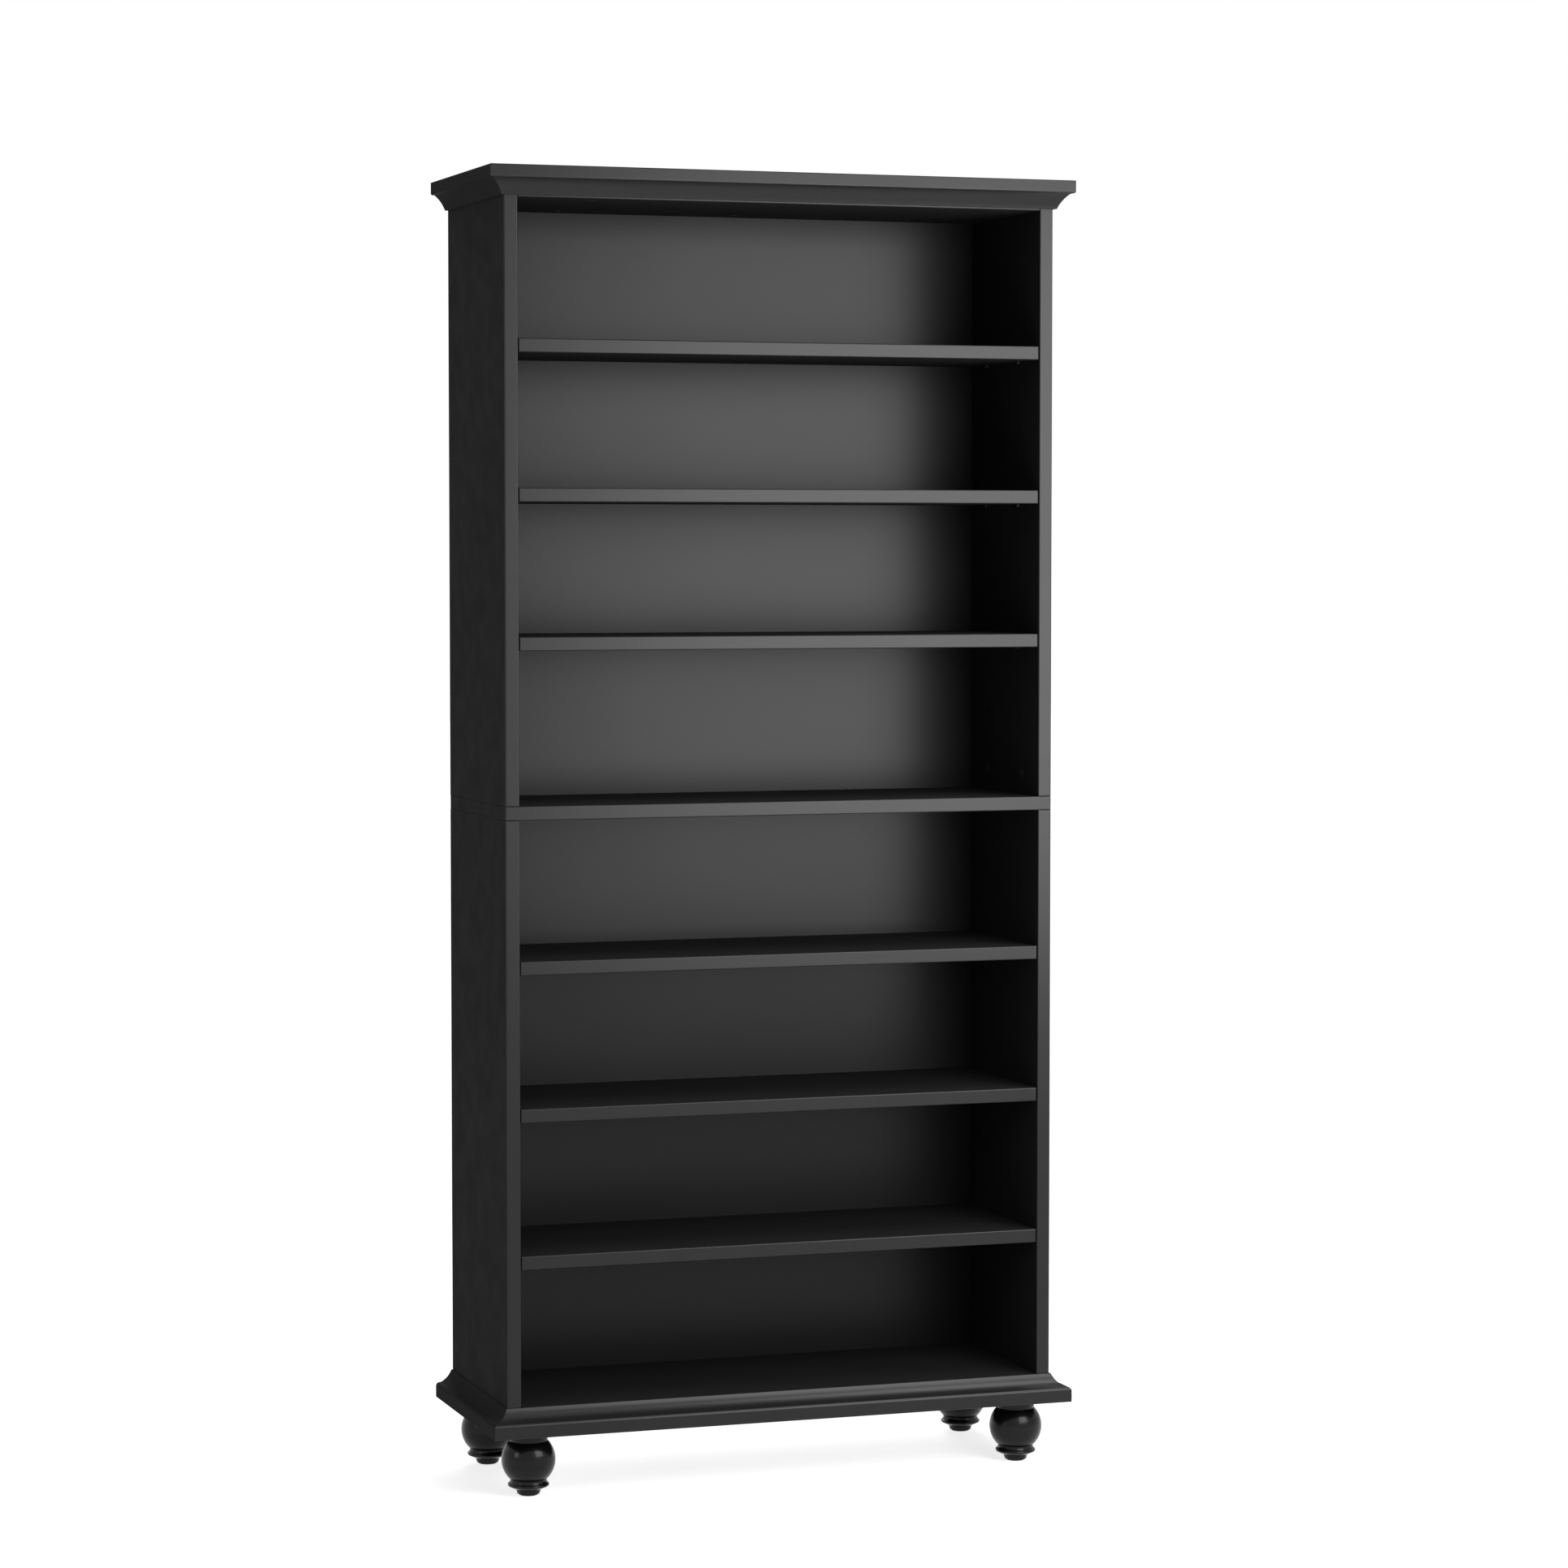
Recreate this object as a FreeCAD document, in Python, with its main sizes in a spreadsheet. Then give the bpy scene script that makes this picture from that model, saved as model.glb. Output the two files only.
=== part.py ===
# Two-stack bookcase with a crown, a moulded base and four turned ball feet.
# Millimetres. X runs left to right, Y from front to back, Z up. The origin is on the
# floor, at the centre of the whole bookcase's footprint.
import FreeCAD, Part
import os
import Sketcher
from FreeCAD import Rotation, Vector

doc = FreeCAD.newDocument("Bookcase")

# Driving dimensions. Each is kept in the sheet under its own name.
DIMENSIONS = {
    # The case
    "cabinet_width": 914.0,
    "cabinet_depth": 346.0,
    "panel": 22.0,
    "base_board": 22.0,
    "crown_deck": 25.5,
    "lower_clear": 922.0,
    "upper_clear": 944.0,
    "arris": 1.5,
    # Back panels, set in grooves of the sides, and the rails behind them
    "back_sheet": 6.0,
    "groove_depth": 6.0,
    "groove_gap": 0.1,
    "rail_height": 60.0,
    "rail_depth": 40.0,
    # Shelves and the pins that carry them
    "shelf_thickness": 21.5,
    "shelf_side_gap": 1.2,
    "shelf_setback": 1.0,
    "shelf_back_gap": 1.0,
    "shelf_pitch": 231.5,
    "lower_first_shelf": 216.6,
    "upper_first_shelf": 242.0,
    "pin_inset": 80.0,
    "pin_radius": 2.5,
    "pin_bite": 10.0,
    "pin_drop": 3.0,
    "paddle_reach": 9.0,
    "paddle_width": 10.0,
    "spare_hole_rise": 125.0,
    # Crown and base mouldings
    "overhang": 28.5,
    "moulding_arris": 1.5,
    "crown_fascia": 20.5,
    "crown_round": 3.0,
    "crown_ledge": 3.0,
    "crown_lip": 5.0,
    "crown_cove_sag": 2.0,
    "crown_height": 44.5,
    "base_fascia": 24.5,
    "base_round": 6.0,
    "base_ledge": 2.0,
    "base_lip": 2.5,
    "base_cove_sag": 2.6,
    # Turned feet
    "foot_height": 102.5,
    "foot_side_inset": 43.5,
    "foot_front_inset": 38.0,
    "foot_rear_inset": 57.0,
    "ball_radius": 42.8,
    "ball_rise": 57.0,
    "collar_radius": 30.5,
    "neck_radius": 28.8,
    "saucer_radius": 32.8,
    "saucer_rise": 17.0,
    "saucer_edge": 2.6,
    "saucer_hollow": 7.0,
    "toe_top_radius": 19.8,
    "toe_rise": 9.0,
    "toe_radius": 17.8,
    "glide_radius": 15.0,
    "glide_thickness": 2.5,
    "foot_bolt_radius": 3.9,
    "foot_bolt_bite": 32.0,
    "foot_bolt_reach": 17.0,
    "nut_radius": 5.0,
    "nut_flange_radius": 11.0,
    "nut_flange": 1.6,
    # Dowels, cam fittings and screws
    "fit_gap": 0.1,
    "end_gap": 0.5,
    "dowel_radius": 4.0,
    "dowel_length": 30.0,
    "dowel_bite": 10.0,
    "dowel_inset": 50.0,
    "rail_dowel_spacing": 30.0,
    "cam_radius": 7.5,
    "cam_depth": 12.5,
    "cam_reach": 34.0,
    "cam_inset": 75.0,
    "cam_bolt_radius": 3.0,
    "cam_bolt_bite": 10.0,
    "screw_radius": 2.0,
    "screw_head_radius": 4.0,
    "screw_head": 2.5,
    "screw_bite": 14.0,
    "screw_inset": 100.0,
    "base_screw_spacing": 500.0,
    "deck_screw_spacing": 300.0,
    "confirmat_radius": 3.5,
    "confirmat_head_radius": 5.0,
    "confirmat_head": 4.0,
    "confirmat_length": 50.0,
    # Pilot holes in the top rail for a wall strap
    "strap_spacing": 400.0,
    "strap_hole_radius": 1.5,
    "strap_hole_depth": 25.0,
    # How far every cutting shape runs past the face that it opens
    "overrun": 1.0,
}

sheet = doc.addObject("Spreadsheet::Sheet", "Size")
for row, (alias, number) in enumerate(DIMENSIONS.items(), start=1):
    sheet.set(f"A{row}", alias)
    sheet.set(f"B{row}", str(number))
    sheet.setAlias(f"B{row}", alias)
doc.recompute()

# Places that follow from the dimensions, as expressions
CLEAR_WIDTH = "(Size.cabinet_width - 2 * Size.panel)"
HALF_WIDTH = "(Size.cabinet_width / 2)"
HALF_CLEAR = "(Size.cabinet_width / 2 - Size.panel)"
SIDE_CENTRE = "(Size.cabinet_width / 2 - Size.panel / 2)"
FRONT = "((Size.overhang - Size.cabinet_depth) / 2)"
REAR = "((Size.overhang + Size.cabinet_depth) / 2)"
INNER_DEPTH = "(Size.cabinet_depth - Size.back_sheet - Size.rail_depth)"
BACK_FACE = f"({FRONT} + {INNER_DEPTH})"
RAIL_FACE = f"({REAR} - Size.rail_depth)"
RAIL_CENTRE = f"({REAR} - Size.rail_depth / 2)"

BASE_TOP = "(Size.foot_height + Size.base_board)"
CASE_FLOOR = f"({BASE_TOP} + Size.panel)"
MID_UNDER = f"({CASE_FLOOR} + Size.lower_clear)"
MID_TOP = f"({MID_UNDER} + Size.panel)"
TOP_UNDER = f"({MID_TOP} + Size.upper_clear)"
TOP_TOP = f"({TOP_UNDER} + Size.panel)"
CROWN_TOP = f"({TOP_TOP} + Size.crown_deck)"

HANDS = {"left": "-1", "right": "1"}
TOLERANCE = 1e-6
nodes = []


def number(expression):
    return float(sheet.evalExpression(expression))


def bind(thing, prop, expression):
    thing.setExpression(prop, expression)


def place(thing, corner):
    for axis, expression in zip("xyz", corner):
        bind(thing, f"Placement.Base.{axis}", expression)


def node(thing, label):
    thing.Label = label
    nodes.append(thing)
    return thing


def two_rows(inset):
    """The Y places of a front and a rear fixing, each as far from its own edge."""
    return (f"({FRONT} + {inset})", f"({BACK_FACE} - {inset})")


# Sketches and bodies. To a sketch, edge -1 is its across axis, whose end 1 is the origin,
# and edge -2 is its upright axis. Every edge has ends 1 and 2.
PLANES = {"Z": "XY_Plane", "Y": "XZ_Plane", "X": "YZ_Plane"}


def plane_sketch(body, axis, name):
    """An empty sketch on the body's own plane that is square to the axis."""
    role = PLANES[axis]
    plane = next(part for part in body.Origin.OriginFeatures if part.Role == role)
    sketch = body.newObject("Sketcher::SketchObject", name)
    sketch.AttachmentSupport = (plane, "")
    sketch.MapMode = "FlatFace"
    return sketch


def hold(sketch, corner, geometry, end):
    """Ties one end of a sketched edge to its place, measured from the sketch's origin."""
    across, up = corner
    if across == "0":
        sketch.addConstraint(Sketcher.Constraint("PointOnObject", geometry, end, -2))
    else:
        index = sketch.addConstraint(
            Sketcher.Constraint("DistanceX", -1, 1, geometry, end, number(across)))
        bind(sketch, f"Constraints[{index}]", across)
    if up == "0":
        sketch.addConstraint(Sketcher.Constraint("PointOnObject", geometry, end, -1))
    else:
        index = sketch.addConstraint(
            Sketcher.Constraint("DistanceY", -1, 1, geometry, end, number(up)))
        bind(sketch, f"Constraints[{index}]", up)


def arc_middle(start, end, radius, turn):
    """The middle of the arc between two points. It bulges right of the way for turn 1."""
    chord = end - start
    half = chord.Length / 2
    rise = radius - (radius ** 2 - half ** 2) ** 0.5
    aside = Vector(chord.y, -chord.x, 0).normalize()
    return (start + end) / 2 + aside * rise * turn


def outline(sketch, corners, arcs=None):
    """A closed outline through the corners. arcs gives an edge's radius and its turn."""
    arcs = arcs or {}
    points = [Vector(number(across), number(up), 0) for across, up in corners]
    ends = []
    for index, start in enumerate(points):
        end = points[(index + 1) % len(points)]
        if index in arcs:
            radius, turn = arcs[index]
            middle = arc_middle(start, end, number(radius), turn)
            edge = sketch.addGeometry(Part.Arc(start, middle, end))
            forward = sketch.getPoint(edge, 1).isEqual(start, TOLERANCE)
            ends.append((edge, 1, 2) if forward else (edge, 2, 1))
            tie = sketch.addConstraint(Sketcher.Constraint("Radius", edge, number(radius)))
            bind(sketch, f"Constraints[{tie}]", radius)
        else:
            edge = sketch.addGeometry(Part.LineSegment(start, end))
            ends.append((edge, 1, 2))
    for index, (edge, first, last) in enumerate(ends):
        following, begins, stops = ends[(index + 1) % len(ends)]
        sketch.addConstraint(Sketcher.Constraint("Coincident", edge, last, following, begins))
        hold(sketch, corners[index], edge, first)


def pad(body, sketch, length, name, backwards=False):
    feature = body.newObject("PartDesign::Pad", name)
    feature.Profile = sketch
    feature.Reversed = backwards
    bind(feature, "Length", length)
    return feature


def board_blank(name, corner, size, eased=("front",)):
    """A board cut to size. The edges round its eased faces lose their sharp arris."""
    body = doc.addObject("PartDesign::Body", name)
    place(body, corner)
    sketch = plane_sketch(body, "Z", f"{name}_outline")
    width, depth, height = size
    outline(sketch, [("0", "0"), (width, "0"), (width, depth), ("0", depth)])
    solid = pad(body, sketch, height, f"{name}_pad")
    if eased:
        doc.recompute()
        planes = {"front": ("y", 0), "left": ("x", 0), "right": ("x", number(width))}
        edges = set()
        for face in eased:
            axis, level = planes[face]
            for index, edge in enumerate(solid.Shape.Edges, start=1):
                if all(abs(getattr(v.Point, axis) - level) < TOLERANCE for v in edge.Vertexes):
                    edges.add(f"Edge{index}")
        rounding = body.newObject("PartDesign::Fillet", f"{name}_arris")
        rounding.Base = (solid, sorted(edges))
        bind(rounding, "Radius", "Size.arris")
        body.Tip = rounding
    return body


# Round stock, boxes and cuts
TURNS = {"X": Rotation(Vector(0, 1, 0), 90), "Y": Rotation(Vector(1, 0, 0), -90), "Z": Rotation()}


def rod(name, axis, start, radius, length):
    """A cylinder that starts at a place and runs towards plus X, Y or Z."""
    cylinder = doc.addObject("Part::Cylinder", name)
    cylinder.Placement.Rotation = TURNS[axis]
    place(cylinder, start)
    bind(cylinder, "Radius", radius)
    bind(cylinder, "Height", length)
    return cylinder


def cone(name, start, low_radius, high_radius, length):
    taper = doc.addObject("Part::Cone", name)
    place(taper, start)
    bind(taper, "Radius1", low_radius)
    bind(taper, "Radius2", high_radius)
    bind(taper, "Height", length)
    return taper


def block(name, corner, size):
    box = doc.addObject("Part::Box", name)
    place(box, corner)
    for prop, expression in zip(("Length", "Width", "Height"), size):
        bind(box, prop, expression)
    return box


def fuse(name, things):
    whole = doc.addObject("Part::MultiFuse", name)
    whole.Shapes = things
    return whole


def group(name, things):
    gathered = doc.addObject("Part::Compound", name)
    gathered.Links = things
    return gathered


def cut(name, base, tool):
    piece = doc.addObject("Part::Cut", name)
    piece.Base = base
    piece.Tool = tool
    return piece


def drilled(label, blank, tools):
    return node(cut(label, blank, group(f"{label}_cuts", tools)), label)


# Dowels: 8 mm beech, glued in the ends of the boards that meet a side or the mid board
def dowel(name, axis, start):
    """One dowel and the bore that it sits in. The bore is a little longer and wider."""
    peg = rod(name, axis, start, "Size.dowel_radius", "Size.dowel_length")
    mouth = list(start)
    run = "XYZ".index(axis)
    mouth[run] = f"({start[run]} - Size.end_gap)"
    bore = rod(f"{name}_bore", axis, mouth, "(Size.dowel_radius + Size.fit_gap)",
               "(Size.dowel_length + 2 * Size.end_gap)")
    return peg, bore


def side_start(hand):
    """The low X end of a dowel that joins a board's end to this side panel."""
    if hand == "left":
        return f"(-{HALF_CLEAR} - Size.dowel_bite)"
    return f"({HALF_CLEAR} + Size.dowel_bite - Size.dowel_length)"


DOWEL_ROWS = two_rows("Size.dowel_inset") + (f"({FRONT} + {INNER_DEPTH} / 2)",)
RAIL_DOWEL_OFFSETS = ("- Size.rail_dowel_spacing / 2", "+ Size.rail_dowel_spacing / 2")


def case_dowels(name, board_centre, rail_centres, side_end):
    """Every dowel of one case: its panel's ends, its rails' ends and its sides' ends."""
    pegs, bores = [], []
    for hand, sign in HANDS.items():
        places = [("X", (side_start(hand), y, board_centre)) for y in DOWEL_ROWS]
        for centre in rail_centres:
            for offset in RAIL_DOWEL_OFFSETS:
                places.append(("X", (side_start(hand), RAIL_CENTRE, f"({centre} {offset})")))
        places += [("Z", (f"({sign} * {SIDE_CENTRE})", y, side_end)) for y in DOWEL_ROWS]
        for axis, start in places:
            peg, bore = dowel(f"{name}_{len(pegs)}", axis, start)
            pegs.append(peg)
            bores.append(bore)
    node(group(name, pegs), name)
    return bores


LOWER_RAILS = {
    "lower_bottom_rail": CASE_FLOOR,
    "lower_top_rail": f"({MID_UNDER} - Size.rail_height)",
}
UPPER_RAILS = {
    "upper_bottom_rail": MID_TOP,
    "upper_top_rail": f"({TOP_UNDER} - Size.rail_height)",
}
lower_dowel_bores = case_dowels(
    "lower_dowels", f"({BASE_TOP} + Size.panel / 2)",
    [f"({low} + Size.rail_height / 2)" for low in LOWER_RAILS.values()],
    f"({MID_UNDER} + Size.dowel_bite - Size.dowel_length)")
upper_dowel_bores = case_dowels(
    "upper_dowels", f"({TOP_UNDER} + Size.panel / 2)",
    [f"({low} + Size.rail_height / 2)" for low in UPPER_RAILS.values()],
    f"({MID_TOP} - Size.dowel_bite)")


# Cam fittings: a steel bolt screwed into one board and a drum let into the other,
# which draws the bolt in. The drums lie on faces that the deck or the base board covers,
# and in the inner faces of the upper sides.
CAM_ROWS = two_rows("Size.cam_inset")
BOLT_LENGTH = "(Size.cam_bolt_bite + Size.cam_reach - Size.end_gap)"
BOLT_BORE_LENGTH = "(Size.cam_bolt_bite + Size.cam_reach + Size.end_gap)"
BOLT_BORE_RADIUS = "(Size.cam_bolt_radius + Size.fit_gap)"
CAM_BORE_RADIUS = "(Size.cam_radius + Size.fit_gap)"
CAM_BORE_DEPTH = "(Size.cam_depth + Size.overrun)"
cam_bolts, cam_drums = [], []


def flat_cams(name, drum_low, bore_low, bolt_level):
    """Cams in a panel between the sides, whose bolts run out of its ends into the sides."""
    bores = []
    for hand, sign in HANDS.items():
        for y in CAM_ROWS:
            tag = f"{name}_{hand}_{len(bores)}"
            drum_x = f"({sign} * ({HALF_CLEAR} - Size.cam_reach))"
            bolt_low = f"(-{HALF_CLEAR} - Size.cam_bolt_bite)"
            bore_start = f"({bolt_low} - Size.end_gap)"
            if hand == "right":
                bolt_low = f"({HALF_CLEAR} + Size.cam_bolt_bite - {BOLT_LENGTH})"
                bore_start = f"({drum_x})"
            bolt_bore = rod(f"{tag}_bolt_bore", "X", (bore_start, y, bolt_level),
                            BOLT_BORE_RADIUS, BOLT_BORE_LENGTH)
            drum = rod(f"{tag}_drum", "Z", (drum_x, y, drum_low), "Size.cam_radius",
                       "Size.cam_depth")
            drum_bore = rod(f"{tag}_drum_bore", "Z", (drum_x, y, bore_low), CAM_BORE_RADIUS,
                            CAM_BORE_DEPTH)
            cam_bolts.append(rod(f"{tag}_bolt", "X", (bolt_low, y, bolt_level),
                                 "Size.cam_bolt_radius", BOLT_LENGTH))
            cam_drums.append(cut(f"{tag}_cam", drum, bolt_bore))
            bores += [bolt_bore, drum_bore]
    return bores


bottom_cam_bores = flat_cams("bottom", BASE_TOP, f"({BASE_TOP} - Size.overrun)",
                             f"({BASE_TOP} + Size.panel / 2)")
top_cam_bores = flat_cams("top", f"({TOP_TOP} - Size.cam_depth)",
                          f"({TOP_TOP} - Size.cam_depth)",
                          f"({TOP_UNDER} + Size.panel / 2)")

stack_cam_bores = []
for hand, sign in HANDS.items():
    for y in CAM_ROWS:
        tag = f"stack_{hand}_{len(stack_cam_bores)}"
        bolt_x = f"({sign} * {SIDE_CENTRE})"
        drum_level = f"({MID_TOP} + Size.cam_reach)"
        drum_low = f"(-{HALF_CLEAR} - Size.cam_depth)"
        bore_low = drum_low
        if hand == "right":
            drum_low = HALF_CLEAR
            bore_low = f"({HALF_CLEAR} - Size.overrun)"
        bolt_bore = rod(f"{tag}_bolt_bore", "Z",
                        (bolt_x, y, f"({MID_TOP} - Size.cam_bolt_bite - Size.end_gap)"),
                        BOLT_BORE_RADIUS, BOLT_BORE_LENGTH)
        drum = rod(f"{tag}_drum", "X", (drum_low, y, drum_level), "Size.cam_radius",
                   "Size.cam_depth")
        drum_bore = rod(f"{tag}_drum_bore", "X", (bore_low, y, drum_level), CAM_BORE_RADIUS,
                        CAM_BORE_DEPTH)
        cam_bolts.append(rod(f"{tag}_bolt", "Z",
                             (bolt_x, y, f"({MID_TOP} - Size.cam_bolt_bite)"),
                             "Size.cam_bolt_radius", BOLT_LENGTH))
        cam_drums.append(cut(f"{tag}_cam", drum, bolt_bore))
        stack_cam_bores += [bolt_bore, drum_bore]
node(group("cam_bolts", cam_bolts), "cam_bolts")
node(group("cam_drums", cam_drums), "cam_drums")


# Countersunk wood screws, driven upwards
def up_screw(name, start, through):
    """A screw whose head lies flush in the underside at its start, and its bore."""
    x, y, z = start
    length = f"({through} + Size.screw_bite)"
    screw = fuse(name, [
        rod(f"{name}_shank", "Z", start, "Size.screw_radius", length),
        cone(f"{name}_head", start, "Size.screw_head_radius", "Size.screw_radius",
             "Size.screw_head")])
    bore = fuse(f"{name}_bore", [
        rod(f"{name}_hole", "Z", (x, y, f"({z} - Size.overrun)"),
            "(Size.screw_radius + Size.fit_gap)",
            f"({length} + Size.overrun + Size.end_gap)"),
        cone(f"{name}_sink", start, "(Size.screw_head_radius + Size.fit_gap)",
             "(Size.screw_radius + Size.fit_gap)", "Size.screw_head")])
    return screw, bore


def screw_group(label, places, through):
    screws, bores = [], []
    for start in places:
        screw, bore = up_screw(f"{label}_{len(screws)}", start, through)
        screws.append(screw)
        bores.append(bore)
    node(group(label, screws), label)
    return bores


SCREW_ROWS = two_rows("Size.screw_inset")
base_screw_columns = [f"({sign} * {SIDE_CENTRE})" for sign in HANDS.values()]
base_screw_columns += [f"({sign} * Size.base_screw_spacing / 2)" for sign in HANDS.values()]
base_screw_bores = screw_group(
    "base_screws", [(x, y, "Size.foot_height") for x in base_screw_columns for y in SCREW_ROWS],
    "Size.base_board")
deck_screw_columns = ["0"] + [f"({sign} * Size.deck_screw_spacing)" for sign in HANDS.values()]
deck_screw_bores = screw_group(
    "deck_screws", [(x, y, TOP_UNDER) for x in deck_screw_columns for y in DOWEL_ROWS[:2]],
    "Size.panel")

# Thick-shanked screws down through the mid board into the lower sides. The upper sides
# stand on their heads and hide them.
mid_screws, mid_screw_bores = [], []
for sign in HANDS.values():
    for y in SCREW_ROWS:
        tag = f"mid_screw_{len(mid_screws)}"
        x = f"({sign} * {SIDE_CENTRE})"
        low = f"({MID_TOP} - Size.confirmat_length)"
        head_low = f"({MID_TOP} - Size.confirmat_head)"
        shank = rod(f"{tag}_shank", "Z", (x, y, low), "Size.confirmat_radius",
                    "Size.confirmat_length")
        head = rod(f"{tag}_head", "Z", (x, y, head_low), "Size.confirmat_head_radius",
                   "Size.confirmat_head")
        mid_screws.append(fuse(tag, [shank, head]))
        hole = rod(f"{tag}_hole", "Z", (x, y, f"({low} - Size.end_gap)"),
                   "(Size.confirmat_radius + Size.fit_gap)",
                   "(Size.confirmat_length + Size.overrun)")
        seat = rod(f"{tag}_seat", "Z", (x, y, head_low),
                   "(Size.confirmat_head_radius + Size.fit_gap)",
                   "(Size.confirmat_head + Size.overrun)")
        mid_screw_bores.append(fuse(f"{tag}_bore", [hole, seat]))
node(group("mid_board_screws", mid_screws), "mid_board_screws")


# Shelf pins: steel pegs with a flat paddle under the shelf, four to a shelf. The sides
# have a further row of holes above each shelf and below the lowest one of each case.
PIN_ROWS = two_rows("Size.pin_inset")
PIN_BORE_RADIUS = "(Size.pin_radius + Size.fit_gap)"
PIN_BORE_DEPTH = "(Size.pin_bite + Size.end_gap + Size.overrun)"
SHELF_STEPS = (0, 1, 2)


def shelf_under(first, step):
    return f"({first} + {step} * Size.shelf_pitch)"


def pin_start(hand, depth, past):
    """The low X end of what reaches a depth into a side and some way out of its face."""
    if hand == "left":
        return f"(-{HALF_CLEAR} - {depth})"
    return f"({HALF_CLEAR} - {past})"


def shelf_pins(label, first):
    """The pins of one case's three shelves, as separate solids, and every pin bore."""
    pins, bores = [], []
    for hand in HANDS:
        for y in PIN_ROWS:
            for step in SHELF_STEPS:
                tag = f"{label}_{len(pins)}"
                under = shelf_under(first, step)
                level = f"({under} - Size.pin_drop)"
                peg = rod(f"{tag}_peg", "X",
                          (pin_start(hand, "Size.pin_bite", "Size.paddle_reach"), y, level),
                          "Size.pin_radius", "(Size.pin_bite + Size.paddle_reach)")
                paddle = block(f"{tag}_paddle",
                               (pin_start(hand, "0", "Size.paddle_reach"),
                                f"({y} - Size.paddle_width / 2)", level),
                               ("Size.paddle_reach", "Size.paddle_width", "Size.pin_drop"))
                pins.append(fuse(tag, [peg, paddle]))
            for step in (-1,) + SHELF_STEPS:
                under = shelf_under(first, step)
                levels = [f"({under} - Size.pin_drop + Size.spare_hole_rise)"]
                if step >= 0:
                    levels.append(f"({under} - Size.pin_drop)")
                for level in levels:
                    start = pin_start(hand, "(Size.pin_bite + Size.end_gap)", "Size.overrun")
                    bores.append(rod(f"{label}_bore_{len(bores)}", "X", (start, y, level),
                                     PIN_BORE_RADIUS, PIN_BORE_DEPTH))
    node(group(label, pins), label)
    return bores


LOWER_FIRST = f"({CASE_FLOOR} + Size.lower_first_shelf)"
UPPER_FIRST = f"({MID_TOP} + Size.upper_first_shelf)"
lower_pin_bores = shelf_pins("lower_shelf_pins", LOWER_FIRST)
upper_pin_bores = shelf_pins("upper_shelf_pins", UPPER_FIRST)

# Feet: turned ball, saucer and toe on the case's corners
FOOT_X = f"({HALF_WIDTH} - Size.foot_side_inset)"
FOOT_PLACES = {
    "foot_front_left": (f"(-{FOOT_X})", f"({FRONT} + Size.foot_front_inset)"),
    "foot_front_right": (FOOT_X, f"({FRONT} + Size.foot_front_inset)"),
    "foot_rear_left": (f"(-{FOOT_X})", f"({REAR} - Size.foot_rear_inset)"),
    "foot_rear_right": (FOOT_X, f"({REAR} - Size.foot_rear_inset)"),
}
FOOT_BOLT_FLOOR = "(Size.foot_height - Size.foot_bolt_bite - Size.end_gap)"
FOOT_BORE_RADIUS = "(Size.foot_bolt_radius + Size.fit_gap)"
# The saucer's rim is an arc a little larger than half its thickness, and this share of
# that half thickness is how far the arc stands out past its own ends.
EDGE_ROUND_SHARE = 1.08
RIM_SHARE = EDGE_ROUND_SHARE - (EDGE_ROUND_SHARE ** 2 - 1) ** 0.5
SAUCER_IN = f"(Size.saucer_radius - {RIM_SHARE} * Size.saucer_edge)"


def ball_level(sign, radius):
    """Where the ball has this radius, above or below its middle."""
    reach = f"sqrt(Size.ball_radius * Size.ball_radius - {radius} * {radius})"
    return f"(Size.ball_rise {sign} {reach})"


def foot(label, x, y):
    """The half section of a foot, from its toe up to its collar, turned about its axis."""
    body = doc.addObject("PartDesign::Body", label)
    place(body, (x, y, "0"))
    sketch = plane_sketch(body, "Y", f"{label}_section")
    outline(sketch, [
        ("0", "Size.glide_thickness"),
        ("Size.toe_radius", "Size.glide_thickness"),
        ("Size.toe_top_radius", "Size.toe_rise"),
        (SAUCER_IN, "(Size.saucer_rise - Size.saucer_edge)"),
        (SAUCER_IN, "(Size.saucer_rise + Size.saucer_edge)"),
        ("Size.neck_radius", ball_level("-", "Size.neck_radius")),
        ("Size.collar_radius", ball_level("+", "Size.collar_radius")),
        ("Size.collar_radius", "Size.foot_height"),
        (FOOT_BORE_RADIUS, "Size.foot_height"),
        (FOOT_BORE_RADIUS, FOOT_BOLT_FLOOR),
        ("0", FOOT_BOLT_FLOOR),
    ], {
        3: (f"(Size.saucer_edge * {EDGE_ROUND_SHARE})", 1),
        4: ("Size.saucer_hollow", -1),
        5: ("Size.ball_radius", 1),
    })
    turned = body.newObject("PartDesign::Revolution", f"{label}_turned")
    turned.Profile = sketch
    turned.ReferenceAxis = (sketch, ["V_Axis"])
    turned.Angle = 360
    node(body, label)


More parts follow.
